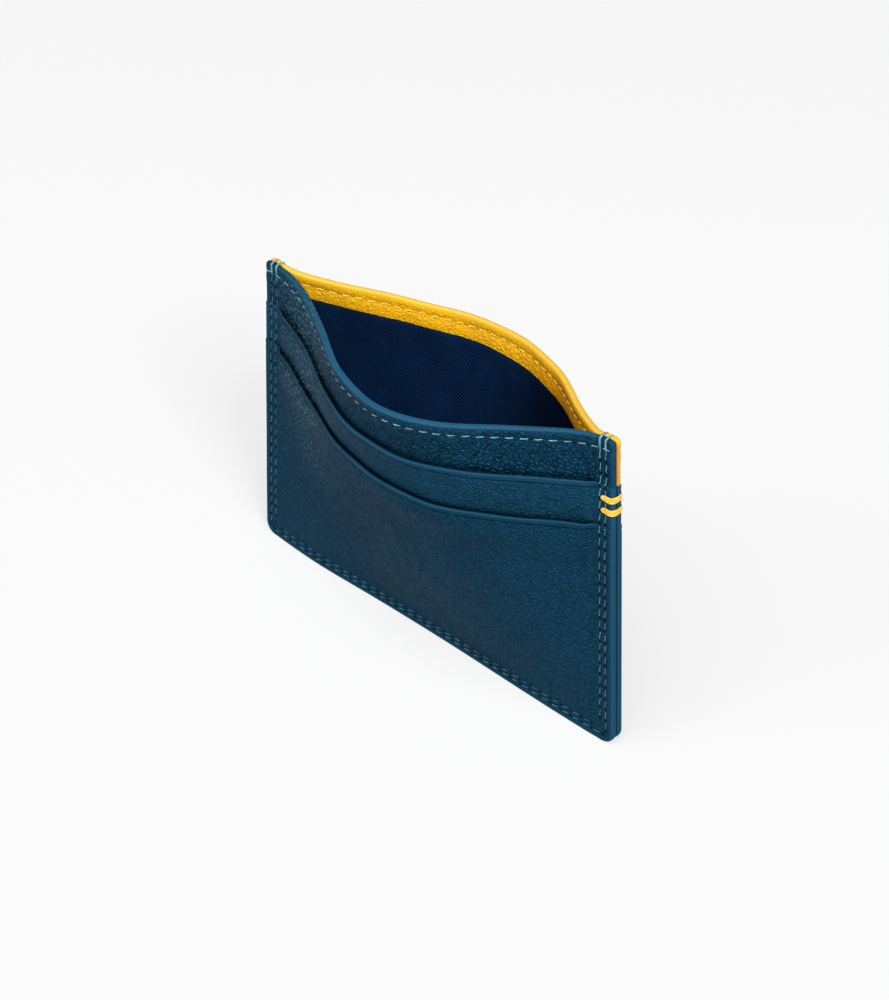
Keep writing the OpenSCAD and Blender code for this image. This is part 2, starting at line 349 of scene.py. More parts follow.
# Distances from the side edges at which every sheet has a column: dense where the edge is rounded
# and where the stitch rows draw the leather in.
EDGE_STEPS = np.array([0.004, 0.03, 0.09, 0.18, 0.3, 0.45, 0.62, 0.8, 0.95, 1.1, 1.25, 1.4, 1.6,
                       1.8, 2.0, 2.2, 2.5, 2.8, 3.0, 3.2, 3.4, 3.6, 4.0])


def across(half, step):
    """The x of every column, dense near the two side edges; half holds a half width per row."""
    middle_width = 90
    inner = np.linspace(-1, 1, int(middle_width / step))
    reach = half - EDGE_STEPS[-1] - step * 0.8
    left = EDGE_STEPS[None, :] - half[:, None]
    return np.concatenate([left, reach[:, None] * inner[None, :], -left[:, ::-1]], 1)


# ---------------------------------------------------------------- meshes
def make_piece(name, points, faces, layers, uv=None):
    """A smooth mesh from points in millimetres, with named values and a flat map per point."""
    mesh = bpy.data.meshes.new(name)
    mesh.from_pydata((np.asarray(points, float) * MM).tolist(), [], faces)
    work = bmesh.new()
    work.from_mesh(mesh)
    bmesh.ops.recalc_face_normals(work, faces=work.faces)
    work.to_mesh(mesh)
    work.free()
    for key, values in layers.items():
        layer = mesh.attributes.new(key, "FLOAT", "POINT")
        layer.data.foreach_set("value", np.asarray(values, np.float32).ravel())
    if uv is not None:
        corners = np.zeros(len(mesh.loops), np.int32)
        mesh.loops.foreach_get("vertex_index", corners)
        layer = mesh.uv_layers.new(name="flat")
        layer.data.foreach_set("uv", np.asarray(uv, np.float32)[corners].ravel())
    mesh.polygons.foreach_set("use_smooth", [True] * len(mesh.polygons))
    mesh.update()
    piece = bpy.data.objects.new(name, mesh)
    bpy.context.scene.collection.objects.link(piece)
    return piece


def sheet_faces(count, cols, row_count):
    """The faces of a closed sheet: its grid wraps round, and both side ends are filled in. The first
    row_count rows are the outer face, and the last the inner one."""
    index = np.arange(count * cols).reshape(count, cols)
    after = np.roll(index, -1, 0)
    quads = np.stack([index[:, :-1], index[:, 1:], after[:, 1:], after[:, :-1]], -1).reshape(-1, 4)
    faces = quads.tolist()
    last = row_count - 1
    for col in (0, cols - 1):
        for k in range(last):
            ends = [index[k, col], index[k + 1, col], index[count - 2 - k, col], index[count - 1 - k, col]]
            faces.append([int(i) for i in ends])
        faces.append([int(i) for i in index[last:count - last, col]])
    return faces


def flat_map(side, x, vv, run):
    """The sheet rolled out: each point's length along it from the middle, and its row's run."""
    walk = np.linalg.norm(np.diff(point(side, x, vv, 0 * x), axis=1), axis=2)
    along = np.concatenate([np.zeros((len(x), 1)), np.cumsum(walk, 1)], 1)
    along -= along[:, -1:] / 2
    return np.stack([along, np.repeat(run[:, None], x.shape[1], 1)], -1).reshape(-1, 2)


def parting_line(x, vv, d):
    """Painted shade: the dark line at the holder's edge, in the gap where the two halves meet."""
    return 0.9 * (1 - ease((d - SEAM_IN - 0.03) / 0.2)) * (1 - ease(edge_gap(x, vv) / 1.2))


def slot_mouth(x, vv, lean):
    """Painted shade of the slot on the inner side of a pocket's rim; lean is 1 outside and -1 inside."""
    return 0.85 * (1 - ease((lean + 0.3) / 0.9)) * ease((edge_gap(x, vv) - INNER_ROW) / 1.5)


def sheet(name, side, rows, half, outer, inner, step=0.5, rim_r=0.0, edge_r=0.0):
    """A closed sheet between two faces. Its top edge is rounded over rim_r, its side edges and its
    bottom over edge_r. Returns the piece, and the x and v of its points."""
    rim_power, edge_power = 0.7, 2.6
    fold = 1.4          # the flat map's allowance for the turn at the top
    turn = 9 if rim_r > 0 else 0
    angle = np.linspace(0, math.pi, turn + 2)[1:-1]
    arc_v = rows[-1] + rim_r * np.sin(angle) ** rim_power
    v = np.concatenate([rows, arc_v, rows[::-1]])
    x = across(half(v), step)
    vv = np.repeat(v[:, None], x.shape[1], 1)
    out, back = outer(x, vv), inner(x, vv)
    middle, swell = (out + back) / 2, (out - back) / 2
    lean = np.concatenate([np.ones(len(rows)), flat_cos(angle, rim_power), -np.ones(len(rows))])
    if turn:
        top_row = len(rows) - 1
        blend = ease((vv - (rows[-1] - 2 * rim_r)) / (2 * rim_r))
        middle = mix(middle, np.broadcast_to(middle[top_row], middle.shape), blend)
        swell = mix(swell, np.broadcast_to(swell[top_row], swell.shape), blend)
    d = middle + swell * lean[:, None]
    if edge_r > 0:
        seam = (skin(x, vv) + SEAM_IN) / 2
        closing = 1 - clip01(1 - edge_gap(x, vv) / edge_r) ** edge_power
        d = seam + (d - seam) * np.maximum(closing, 1e-5) ** (1 / edge_power)
    mid = len(rows) + turn // 2
    run = np.where(np.arange(len(v)) < mid, v, 2 * (rows[-1] + rim_r) + fold - v)
    # Painted shade in the gap where the halves meet, and at a pocket's slot mouth.
    painted_shade = parting_line(x, vv, d)
    if rim_r == POCKET_RIM_R:
        painted_shade = np.maximum(painted_shade, slot_mouth(x, vv, lean[:, None]))
    side_gap = half_width(vv) - np.abs(x)
    layers = {
        "gap": edge_gap(x, vv),
        "seam_run": np.where(side_gap < vv, HEIGHT - RIM_ROW - vv, x + PITCH / 2),
        "painted_shade": painted_shade,
    }
    points = point(side, x, vv, d).reshape(-1, 3)
    faces = sheet_faces(len(v), x.shape[1], len(rows))
    return make_piece(name, points, faces, layers, flat_map(side, x, vv, run)), x, vv


def set_layer(piece, key, values):
    """Adds named values to a piece, or adds to the ones that it has."""
    values = np.asarray(values, np.float32).ravel()
    layer = piece.data.attributes.get(key) or piece.data.attributes.new(key, "FLOAT", "POINT")
    known = np.zeros(len(values), np.float32)
    layer.data.foreach_get("value", known)
    layer.data.foreach_set("value", known + values)


def smooth_mask(x, vv, rim, rim_band):
    """1 where the leather's surface is smooth: along its rim and its side edges."""
    at_rim = 0.75 * (1 - ease((rim - vv - rim_band) / 0.5))
    at_edge = 1 - ease((edge_gap(x, vv) - 0.9) / 0.5)
    return np.maximum(at_rim, at_edge)


def rim_highlight(x, vv, rim, band, fade, top=0.1, width=0.3):
    """Painted highlight along the rim and the side edges. It is lightest above top, within width, and
    fainter down to band, within fade."""
    below = rim - vv
    light = 0.8 * (1 - ease((below - top) / width)) + 0.2 * (1 - ease((below - band) / fade))
    at_edge = 0.3 * (1 - ease((edge_gap(x, vv) - 0.05) / 0.55))
    return light * ease((edge_gap(x, vv) - INNER_ROW) / 1.5) + at_edge


def sheen_patch(side, x, vv):
    """Painted sheen: the pale reflection on the grain of the front's left half."""
    return 0.9 * (side == FRONT) * ridge(x, -29, 11) * ease((vv - 22) / 25)


def foot_shade(x, vv, rim):
    """Painted shade: the dark of the slot mouth that a strip runs into behind a pocket's rim."""
    reach = mix(2.4, 1.3, ease((x + 30) / 50))
    deep = mix(0.85, 0.55, ease((x + 30) / 50)) * (1 - ease((vv - rim - 0.1) / reach))
    return deep * ease((edge_gap(x, vv) - INNER_ROW + 0.5) / 2)


def crease_line(x, vv, rim):
    """Painted shade: the dark line in the crease below a pocket's rim, and the rim's own shade on the left.
    """
    line = 0.8 * ridge(vv, rim - 1.05, 0.12)
    shade = 0.4 * (1 - ease((x + 35) / 35)) * (1 - ease((rim - vv - 0.9) / 0.2))
    return np.maximum(line, shade) * ease((edge_gap(x, vv) - INNER_ROW) / 1.2)


def coarse(x, vv, low, high):
    """How coarse the grain is on a strip: most of all at its foot, and towards the right."""
    down = 1 - ease((vv - low) / (high - low))
    return (0.45 + 0.55 * down) * (0.65 + 0.35 * ease((x + 15) / 40))


def right_hem_shade(x, vv):
    """Painted shade: the yellow hem's inner face is darker towards the right, below its smooth top."""
    inner = (np.arange(len(vv)) > len(vv) / 2)[:, None]
    return inner * ease((x - 5) / 22) * ease((HEIGHT - vv - 0.6) / 1.0)


def pocket_layers(piece, side, x, vv, rim):
    """What both pockets have: a smooth rim with a painted highlight, painted shade in the crease below it,
    and the painted sheen patch.
    """
    set_layer(piece, "smooth", smooth_mask(x, vv, rim, 0.9))
    set_layer(piece, "rim_highlight", 0.8 * rim_highlight(x, vv, rim, 0.0, 0.2, -0.12, 0.2))
    set_layer(piece, "painted_shade", crease_line(x, vv, rim))
    set_layer(piece, "wear_and_sheen", sheen_patch(side, x, vv))


def build_strips(half_name, side):
    """The three leather strips of one half: panel, upper pocket, lower pocket."""
    made = {}
    rows = rows_of(spaced(UPPER_RIM - TAIL, UPPER_RIM - WING, 0.8),
                   [UPPER_RIM - WING + 0.02, UPPER_RIM - 0.02, UPPER_RIM + 0.02, UPPER_RIM + 0.2],
                   spaced(UPPER_RIM + 0.4, HEM_EDGE - 0.3, 0.4),
                   [HEM_EDGE - 0.12, HEM_EDGE - 0.02, HEM_EDGE + 0.02, HEM_EDGE + 0.1,
                    HEM_EDGE + 0.25],
                   spaced(HEM_EDGE + 0.45, HEIGHT - HEM_R, 0.24))
    piece, x, vv = sheet(f"{half_name}_panel_leather", side, rows, strip_outline(UPPER_RIM),
                         panel_out, panel_in, rim_r=HEM_R, edge_r=EDGE_R)
    if side == FRONT:
        smooth_top, highlight_strength = 0.5, mix(0.18, 0.42, ease((x + 40) / 30))
        # Painted shade at the panel's foot, behind the upper pocket's rim.
        set_layer(piece, "painted_shade", foot_shade(x, vv, UPPER_RIM))
    else:
        smooth_top, highlight_strength = 1.1, 0.9
        # Painted shade on the yellow hem's right part.
        set_layer(piece, "hem_shade", right_hem_shade(x, vv))
    set_layer(piece, "smooth", smooth_mask(x, vv, HEIGHT, smooth_top))
    # Painted highlight along the rim and the side edges, weaker on the front's left.
    set_layer(piece, "rim_highlight", highlight_strength * rim_highlight(x, vv, HEIGHT, 0.8, 0.8))
    set_layer(piece, "coarse", coarse(x, vv, UPPER_RIM, HEIGHT))
    # Painted sheen on the panel's left.
    set_layer(piece, "wear_and_sheen", 1.3 * sheen_patch(side, x, vv))
    made["panel"] = piece

    rows = rows_of(spaced(LOWER_RIM - TAIL, LOWER_RIM - WING, 0.8),
                   [LOWER_RIM - WING + 0.02, LOWER_RIM - 0.02, LOWER_RIM + 0.02, LOWER_RIM + 0.2],
                   spaced(LOWER_RIM + 0.6, UPPER_RIM - 2.1, 0.5),
                   spaced(UPPER_RIM - 2.0, UPPER_RIM - POCKET_RIM_R, 0.12))
    piece, x, vv = sheet(f"{half_name}_upper_pocket_leather", side, rows, strip_outline(LOWER_RIM),
                         upper_out, upper_in, rim_r=POCKET_RIM_R, edge_r=EDGE_R)
    pocket_layers(piece, side, x, vv, UPPER_RIM)
    # A faint painted highlight over the whole strip, and painted shade at its foot behind the lower
    # pocket's rim.
    set_layer(piece, "rim_highlight", 0.05 + 0 * x)
    set_layer(piece, "painted_shade", foot_shade(x, vv, LOWER_RIM))
    set_layer(piece, "coarse", 0.3 * coarse(x, vv, LOWER_RIM, UPPER_RIM))
    made["upper_pocket"] = piece

    rows = rows_of([0.0], EDGE_STEPS, spaced(4.3, LOWER_RIM - 2.1, 0.5),
                   spaced(LOWER_RIM - 2.0, LOWER_RIM - POCKET_RIM_R, 0.12))
    piece, x, vv = sheet(f"{half_name}_lower_pocket_leather", side, rows, outline,
                         lower_out, lower_in, rim_r=POCKET_RIM_R, edge_r=EDGE_R)
    pocket_layers(piece, side, x, vv, LOWER_RIM)
    set_layer(piece, "coarse", 0.12 + 0 * x)
    made["lower_pocket"] = piece
    return made


def build_cloths(half_name, side):
    """The lining and the two slot cloths of one half."""
    made = {}
    for part, ((low, high), top) in CLOTHS.items():
        if part == "lining":
            top -= HEM_CLEARANCE
        rows = rows_of(spaced(EDGE_INSET, EDGE_INSET + 3, 0.3), spaced(EDGE_INSET + 3.5, top, 1.0))
        piece, x, vv = sheet(f"{half_name}_{part}_twill", side, rows,
                             lambda v: outline(v, EDGE_INSET),
                             lambda x, v, d=high: d + 0 * x, lambda x, v, d=low: d + 0 * x, step=1.0)
        # Painted shade: the back lining darkens towards the right.
        if part == "lining" and side == BACK:
            set_layer(piece, "dark", 0.8 * ease((x + 2) / 24))
        made[part] = piece
    return made


# ---------------------------------------------------------------- threads
def lengths(path):
    """The length along a path up to each of its points."""
    return np.concatenate([[0], np.cumsum(np.linalg.norm(np.diff(path, axis=0), axis=1))])


def tube(path, radius, twist=1.3):
    """Points and faces of a twisted thread along a path, all in millimetres. twist is the length over
    which one lobe takes the next one's place."""
    lobes, lobe_height, ring = 3, 0.15, 12
    path = np.asarray(path, float)
    tangent = np.gradient(path, axis=0)
    tangent /= np.linalg.norm(tangent, axis=1, keepdims=True)
    side = np.cross(tangent[0], [0.3, 0.2, 0.93])
    side /= np.linalg.norm(side)
    length = lengths(path)
    angle = np.arange(ring) * TAU / ring
    points = []
    for k, at in enumerate(path):
        side = side - tangent[k] * (side @ tangent[k])
        side /= np.linalg.norm(side)
        other = np.cross(tangent[k], side)
        lobe = 1 + lobe_height * np.cos(lobes * (angle - TAU * length[k] / twist / lobes))
        r = (radius[k] * lobe)[:, None]
        points.append(at + r * (np.cos(angle)[:, None] * side + np.sin(angle)[:, None] * other))
    count = len(path)
    index = np.arange(count * ring).reshape(count, ring)
    after = np.roll(index, -1, 1)
    quads = np.stack([index[:-1], after[:-1], after[1:], index[1:]], -1).reshape(-1, 4).tolist()
    ends = [index[0, ::-1].tolist(), index[-1].tolist()]
    return np.concatenate(points), quads + ends


class Thread:
    """Collects the tubes of one thread and makes them into one piece."""

    def __init__(self):
        self.points, self.faces, self.sunk, self.count = [], [], [], 0

    def add(self, path, radius, sunk=0.0, **settings):
        """Adds one length of thread; sunk is how much painted shade darkens it."""
        radius = np.broadcast_to(radius, (len(path),))
        points, faces = tube(path, radius, **settings)
        self.points.append(points)
        self.sunk.append(np.full(len(points), sunk))
        self.faces += [[i + self.count for i in face] for face in faces]
        self.count += len(points)

    def piece(self, name):
        return make_piece(name, np.concatenate(self.points), self.faces,
                          {"sunk": np.concatenate(self.sunk)})


def stitch(thread, side, start, end, face, lift=0.06, turned=1, sunk=0.0):
    """One stitch along a half, from (x, v) to (x, v), that dives into its holes at both ends. turned is 1
    on a half's outer face and -1 on its inner one, and sunk is how much painted shade darkens the stitch,
    which also makes it thinner."""
    wander = 0.035
    t = np.linspace(0, 1, 15)
    drift = rng.normal(0, wander, 4)
    x = mix(start[0] + drift[0], end[0] + drift[1], t)
    v = mix(start[1] + drift[2], end[1] + drift[3], t)
    arch = 1 - np.abs(2 * t - 1) ** 4
    d = face(x, v) + turned * (lift * arch - HOLE_DIVE * (1 - arch))
    radius = THREAD_R * rng.uniform(0.85, 1.1) * (0.75 + 0.25 * np.sin(math.pi * t) ** 0.5)
    radius *= 0.82 - 0.12 * min(sunk * 2, 1)
    thread.add(point(side, x, v, d), radius, sunk=sunk * rng.uniform(0.85, 1.15))


def seam_stitches(thread, edge):
    """One row round the sides and the bottom of both halves. The left side's stitches and the bottom's get
    the most painted shade, and the right side's get the least near the top."""
    half, slant = SEAM_STITCH / 2, 0.17
    short = half * 0.8      # half of a stitch along the bottom
    side_count = int((HEIGHT - RIM_ROW - edge - 1.2) // PITCH)
    reach = int((LOW_X - edge - 2.0) // PITCH)
    for side in HALVES.values():
        for end in (-1, 1):
            for i in range(side_count):
                middle = HEIGHT - RIM_ROW - (i + 0.5) * PITCH
                low, high = middle - half, middle + half
                # Painted shade: most on the left side, less on the right towards the top.
                sunk = 0.8 if end < 0 else mix(0.66, 0.3, ease((middle - 45) / 15))
                stitch(thread, side, (end * (half_width(low) - edge) - slant, low),
                       (end * (half_width(high) - edge) + slant, high), skin, 0.0, sunk=sunk)
        for i in range(-reach, reach + 1):
            x = i * PITCH
            stitch(thread, side, (x - short, edge - slant), (x + short, edge + slant), skin,
                   0.0, sunk=0.72 if edge == OUTER_ROW else 0.84)


def rim_stitches(thread, side, face, reach, turned):
    """A row along a rim, evenly spaced along the leather from its middle out to reach."""
    slant = 0.07
    along = np.linspace(-50, 50, 801)
    length = lengths(point(side, along, HEIGHT - RIM_ROW, PANEL_OUT))
    arc = length - np.interp(0, along, length)
    count = int(np.interp(reach, along, arc) // PITCH)
    for i in range(-count, count + 1):
        middle, half = i * PITCH, RIM_STITCH / 2
        start, end = np.interp([middle - half, middle + half], arc, along)
        v = HEIGHT - RIM_ROW
        stitch(thread, side, (start, v - slant), (end, v + slant), face, turned=turned)


def corner_wraps(thread, end):
    """Doubled stitches over the top edge at one corner, in line with the two seams."""
    lift, dip_in, power = 0.05, 0.3, 0.7
    for edge in (OUTER_ROW, INNER_ROW):
        for strand in (-1, 1):
            shift = strand * THREAD_R * 0.7
            low = HEIGHT - RIM_ROW - 0.4 + 0.25 * strand
            shoulder = HEIGHT - 0.8
            path = []
            for side, order in ((FRONT, 1), (BACK, -1)):
                t = np.linspace(0, 1, 9)[::order]
                v = mix(low, shoulder, t)
                x = end * (half_width(v) - edge) + shift * ease(t * 1.6)
                dive = np.maximum(0, 1 - t * 5) ** 2
                path.append(point(side, x, v, panel_out(x, v) + lift - dip_in * dive))
            t = np.linspace(0, math.pi, 13)[1:-1]
            top = HEIGHT - shoulder + THREAD_R * 0.7
            over = np.stack([np.full(len(t), path[0][-1][0]), -(PANEL_OUT + lift) * flat_cos(t, power),
                             shoulder + top * np.sin(t) ** power], 1)
            whole = np.concatenate([path[0], over, path[1]])
            thread.add(smooth_path(whole, 44), THREAD_R * 0.8, twist=1.6)


def smooth_path(path, count):
    """The same path with evenly spaced points and its corners eased."""
    path = np.asarray(path, float)
    for _ in range(2):
        path[1:-1] = (path[:-2] + 2 * path[1:-1] + path[2:]) / 4
    length = lengths(path)
    at = np.linspace(0, length[-1], count)
    return np.stack([np.interp(at, length, path[:, k]) for k in range(3)], 1)


def accent_band(thread, drop, height=1.25, strands=6):
    """Parallel strands laid round the right edge, from the inner row in front to that at the back. They
    gather to a point at each end."""
    turn_gap = 0.75     # where the strands leave the faces and turn round the edge
    sag = 0.36          # how far the ends hang below the middle
    lift, tuck = 0.16, 0.35   # how far a strand lies above the leather, and how deep its ends go
    power = 0.8
    samples = 60
    for k in range(strands):
        place = (k + 0.5) / strands - 0.5
        path, size = [], []
        v = HEIGHT - drop + place * height
        for side, order in ((FRONT, 1), (BACK, -1)):
            t = np.linspace(0, 1, 14)[::order]
            gap = mix(INNER_ROW - 0.05, turn_gap, t)
            gather = mix(0.05, 1, ease(t * 1.9))
            vv = HEIGHT - drop + place * height * gather - sag * (1 - t) ** 2
            x = half_width(vv) - gap
            swell = 0.10 * np.cos(math.pi * place) * ease(t * 3)
            d = skin(x, vv) + lift + swell - tuck * (1 - ease(t * 6))
            path.append(point(side, x, vv, d))
            size.append(0.5 * height / strands * (0.2 + 0.9 * ease(t * 2.5)))
        t = np.linspace(0, math.pi, 13)[1:-1]
        reach = abs(path[0][-1][1])
        stand = 0.93 + 0.08 * math.cos(math.pi * place)
        over = np.stack([half_width(v) - turn_gap + stand * np.sin(t) ** power,
                         -reach * flat_cos(t, power), np.full(len(t), v)], 1)
        whole = np.concatenate([path[0], over, path[1]])
        sizes = np.concatenate([size[0], np.full(len(t), size[0][-1]), size[1]])
        radius = np.interp(np.linspace(0, 1, samples), np.linspace(0, 1, len(sizes)), sizes)
        thread.add(smooth_path(whole, samples), radius, twist=1.5)


# ---------------------------------------------------------------- materials
class Nodes:
    """Short ways to add nodes to one material."""

    def __init__(self, name):
        self.material = bpy.data.materials.new(name)
        self.material.use_nodes = True
        self.tree = self.material.node_tree
        self.shader = next(n for n in self.tree.nodes if n.type == "BSDF_PRINCIPLED")

    def add(self, kind, **settings):
        """A new node with some of its settings."""
        node = self.tree.nodes.new(kind)
        for key, value in settings.items():
            setattr(node, key, value)
        return node

    def put(self, socket, value):
        """Links a socket to another node's output, or gives it a value or a colour."""
        if isinstance(value, bpy.types.NodeSocket):
            self.tree.links.new(value, socket)
        elif isinstance(value, tuple) and len(value) == 3 and socket.type == "RGBA":
            socket.default_value = (*value, 1)
        else:
            socket.default_value = value

    def math(self, operation, a, b=0.0, clamp=False):
        """One sum, product or other operation on numbers."""
        node = self.add("ShaderNodeMath", operation=operation, use_clamp=clamp)
        self.put(node.inputs[0], a)
        self.put(node.inputs[1], b)
        return node.outputs[0]

    def smooth(self, value, low, high, out_low=0.0, out_high=1.0):
        """Softly from out_low to out_high as value goes from low to high."""
        node = self.add("ShaderNodeMapRange", interpolation_type="SMOOTHSTEP")
        self.put(node.inputs["Value"], value)
        self.put(node.inputs["From Min"], low)
        self.put(node.inputs["From Max"], high)
        self.put(node.inputs["To Min"], out_low)
        self.put(node.inputs["To Max"], out_high)
        return node.outputs["Result"]

    def mix(self, factor, a, b):
        """Colour a where factor is 0, colour b where it is 1."""
        node = self.add("ShaderNodeMix", data_type="RGBA")
        self.put(node.inputs["Factor"], factor)
        colour_a, colour_b = node.inputs[6], node.inputs[7]
        self.put(colour_a, a)
        self.put(colour_b, b)
        return node.outputs[2]

    def layer(self, name):
        """A named value of the mesh, 0 where the mesh has none."""
        return self.add("ShaderNodeAttribute", attribute_name=name).outputs["Fac"]

    def flat(self, scale=(1.0, 1.0, 1.0)):
        """The piece's flat map, in millimetres, scaled."""
        uv = self.add("ShaderNodeUVMap", uv_map="flat").outputs["UV"]
        node = self.add("ShaderNodeVectorMath", operation="MULTIPLY")
        self.put(node.inputs[0], uv)
        self.put(node.inputs[1], scale)
        return node.outputs[0]

    def noise(self, at, scale, detail=2.0, colour=False):
        """Soft noise, as a number or as a colour."""
        node = self.add("ShaderNodeTexNoise")
        self.put(node.inputs["Vector"], at)
        self.put(node.inputs["Scale"], scale)
        self.put(node.inputs["Detail"], detail)
        return node.outputs["Color" if colour else "Fac"]

    def shifted(self, at, amount, scale):
        """Coordinates pushed about by noise."""
        push = self.add("ShaderNodeVectorMath", operation="SUBTRACT")
        self.put(push.inputs[0], self.noise(at, scale, colour=True))
        self.put(push.inputs[1], (0.5, 0.5, 0.5))
        grow = self.add("ShaderNodeVectorMath", operation="SCALE")
        self.put(grow.inputs[0], push.outputs[0])
        self.put(grow.inputs["Scale"], amount)
        total = self.add("ShaderNodeVectorMath", operation="ADD")
        self.put(total.inputs[0], at)
        self.put(total.inputs[1], grow.outputs[0])
        return total.outputs[0]

    def cells(self, at, scale):
        """The distance to the nearest cell border."""
        node = self.add("ShaderNodeTexVoronoi", feature="DISTANCE_TO_EDGE")
        self.put(node.inputs["Vector"], at)
        self.put(node.inputs["Scale"], scale)
        return node.outputs["Distance"]

    def bump(self, height, depth_mm, normal=None):
        """A normal tilted by height, on top of another normal if one is given."""
        node = self.add("ShaderNodeBump")
        node.inputs["Strength"].default_value = 1.0
        node.inputs["Distance"].default_value = depth_mm * MM
        self.put(node.inputs["Height"], height)
        if normal is not None:
            self.put(node.inputs["Normal"], normal)
        return node.outputs["Normal"]

    def set(self, **values):
        """Sets the shader's own sockets."""
        for key, value in values.items():
            self.put(self.shader.inputs[key.replace("_", " ")], value)


def hole_mask(n, row_gap, run, row, size):
    """1 at the needle holes of one stitch row: at every PITCH along run, where row_gap is row."""
    turns = n.math("DIVIDE", run, PITCH)
    nearest = n.math("ABSOLUTE", n.math("SUBTRACT", turns, n.math("ROUND", turns)))
    along = n.math("MULTIPLY", nearest, PITCH)
    off = n.math("ABSOLUTE", n.math("SUBTRACT", row_gap, row))
    distance = n.math("SQRT", n.math("ADD", n.math("POWER", along, 2.0), n.math("POWER", off, 2.0)))
    return n.smooth(distance, size * 0.45, size, 1.0, 0.0)


def leather(name, base, crevice, rim, shine, depth, roughness=0.42, hole=0.06):
    """Pebbled leather with smooth edges, and needle holes along its stitch rows. base and crevice are the
    dye's colours, rim is the colour of the painted highlight and the painted glints, hole is how dark the
    painted shade in the needle holes and the grooves is beside base, and depth is the grain's, in
    millimetres."""
    pebbles_per_mm = 1.15
    sheen_colour = (0.09, 0.17, 0.21)
    n = Nodes(name)
    at = n.flat((0.85, 1.0, 1.0))
    drift = n.shifted(at, 3.0, 0.07)
    warped = n.shifted(drift, 0.5, 0.9)
    coarse = n.layer("coarse")
    strength = n.smooth(n.noise(at, 0.55, 2.0), 0.3, 0.68, 0.4, 1.0)
    strength = n.math("MULTIPLY", strength, n.math("ADD", n.math("MULTIPLY", coarse, 0.6), 0.4))
    # Pebbles: valleys between them, and one lit side.
    border = n.cells(warped, pebbles_per_mm)
    above = n.add("ShaderNodeVectorMath", operation="ADD")
    n.put(above.inputs[0], warped)
    n.put(above.inputs[1], (0.03, 0.08, 0.0))
    upper_side = n.smooth(n.math("SUBTRACT", border, n.cells(above.outputs[0], pebbles_per_mm)),
                          0.015, 0.08)
    valley = n.smooth(border, 0.0, 0.3, 1.0, 0.0)
    pebble = n.math("MULTIPLY", valley, strength)
    crack = n.math("MULTIPLY", n.smooth(border, 0.0, 0.18, 1.0, 0.0), strength)
    crease = n.smooth(n.math("ABSOLUTE", n.math("SUBTRACT", n.noise(drift, 0.8, 3.0), 0.5)),
                      0.0, 0.05, 1.0, 0.0)
    slow = n.noise(at, 0.09, 3.0)
    medium = n.noise(at, 0.5, 3.0)
    grain = n.math("SUBTRACT", 1.0, n.layer("smooth"), clamp=True)
    gap, seam_run = n.layer("gap"), n.layer("seam_run")
    holes = n.math("MAXIMUM", hole_mask(n, gap, seam_run, OUTER_ROW, HOLE_R),
                   hole_mask(n, gap, seam_run, INNER_ROW, HOLE_R))
    # Height of the grain.
    sunk = n.math("ADD", n.math("MULTIPLY", pebble, 0.8), n.math("MULTIPLY", crease, 0.12))
    shown = n.math("MULTIPLY", sunk, n.math("ADD", n.math("MULTIPLY", grain, 0.93), 0.07))
    shown = n.math("SUBTRACT", n.math("MULTIPLY", medium, 0.3), shown)
    # Colour: the dye and its dark crevices, then painted glints, painted shade, a painted rim highlight and
    # a painted sheen.
    colour = n.mix(n.smooth(slow, 0.3, 0.7), base, tuple(c * 0.88 for c in base))
    hollow = n.math("MULTIPLY", n.math("ADD", crack, n.math("MULTIPLY", crease, 0.12), clamp=True), grain)
    colour = n.mix(n.math("MULTIPLY", hollow, 0.9, clamp=True), colour, crevice)
    # Painted glints: the upper sides of the pebbles are lightened towards the rim colour.
    speck_and_glint = n.math("MULTIPLY", n.smooth(n.noise(warped, 1.7, 2.0), 0.44, 0.62), upper_side)
    speck_and_glint = n.math("MULTIPLY", n.math("MULTIPLY", speck_and_glint, n.smooth(border, 0.1, 0.26, 1.0, 0.0)), strength)
    colour = n.mix(n.math("MULTIPLY", speck_and_glint, grain), colour, tuple(0.75 * c for c in rim))
    # Painted shade on the yellow hem's inner face, towards the right.
    colour = n.mix(n.layer("hem_shade"), colour, crevice)
    # Painted highlight along the rims and the side edges.
    colour = n.mix(n.math("MULTIPLY", n.layer("rim_highlight"), 0.8), colour, rim)
    # Painted shade in the needle holes.
    colour = n.mix(n.math("MULTIPLY", holes, 0.85), colour, tuple(c * hole for c in base))
    # Painted shade in the gap between the halves, at the slot mouths and in the creases.
    colour = n.mix(n.layer("painted_shade"), colour, tuple(c * hole for c in base))
    # Painted sheen: pale streaks on the front's left half.
    streak = n.noise(n.shifted(n.flat((2.6, 1.1, 1.0)), 0.5, 1.5), 1.05, 3.0)
    wear_and_sheen = n.math("MULTIPLY", n.smooth(streak, 0.5, 0.66), n.layer("wear_and_sheen"))
    colour = n.mix(n.math("MULTIPLY", wear_and_sheen, grain, clamp=True), colour, sheen_colour)
    # Gloss and bumps.
    rough = n.math("ADD", n.math("MULTIPLY", hollow, 0.2),
                   n.smooth(medium, 0.3, 0.7, roughness - 0.05, roughness + 0.05))
    normal = n.bump(shown, depth)
    normal = n.bump(n.noise(at, 5.0, 2.0), 0.012, normal)
    normal = n.bump(n.math("SUBTRACT", 1.0, holes), 0.25, normal)
    n.set(Base_Color=colour, Roughness=rough, Specular_IOR_Level=shine, Normal=normal)
    return n.material


